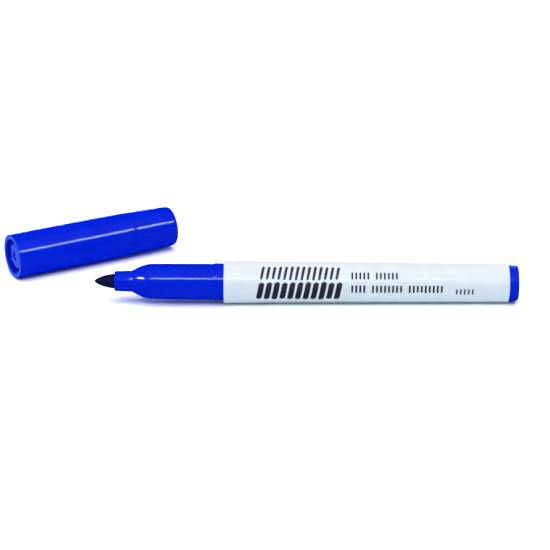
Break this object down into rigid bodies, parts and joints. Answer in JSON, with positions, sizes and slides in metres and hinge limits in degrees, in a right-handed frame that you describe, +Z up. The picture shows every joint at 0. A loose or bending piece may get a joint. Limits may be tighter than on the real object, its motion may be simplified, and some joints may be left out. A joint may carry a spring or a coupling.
{
  "type": "felt tip marker",
  "caption": "Slim felt tip marker for dry-erase boards with a bullet nib, plastic barrel and end plug, and a vented push-on cap laid beside it.",
  "frame": {"origin": "middle of the underside of the box around the pen and the laid cap, on the table", "axes": "+X along the pen from its nib to its tail, +Z up from the table, +Y to the side on which the cap lies"},
  "size_m": [0.1422, 0.0514, 0.0126],
  "materials": {
    "nib_fibre": "ink-wet fibre",
    "blue_plastic": "gloss",
    "white_plastic": "satin gloss",
    "ink_fibre": "soaked fibre",
    "clear_film": "clear film",
    "cap_plastic": "gloss"
  },
  "bodies": {
    "pen": {"nib": "nib_fibre", "front_section": "blue_plastic", "barrel": "white_plastic", "ink_reservoir": "ink_fibre", "reservoir_wrap": "clear_film", "end_plug": "blue_plastic"},
    "cap": {"cap_sleeve": "cap_plastic", "cap_inner_seal": "cap_plastic"}
  },
  "joints": [
    {"name": "cap_slide", "type": "slide", "parent": "pen", "child": "cap", "axis": [-0.8805, -0.4741, 0], "range_m": [0, 0.0489]}
  ]
}
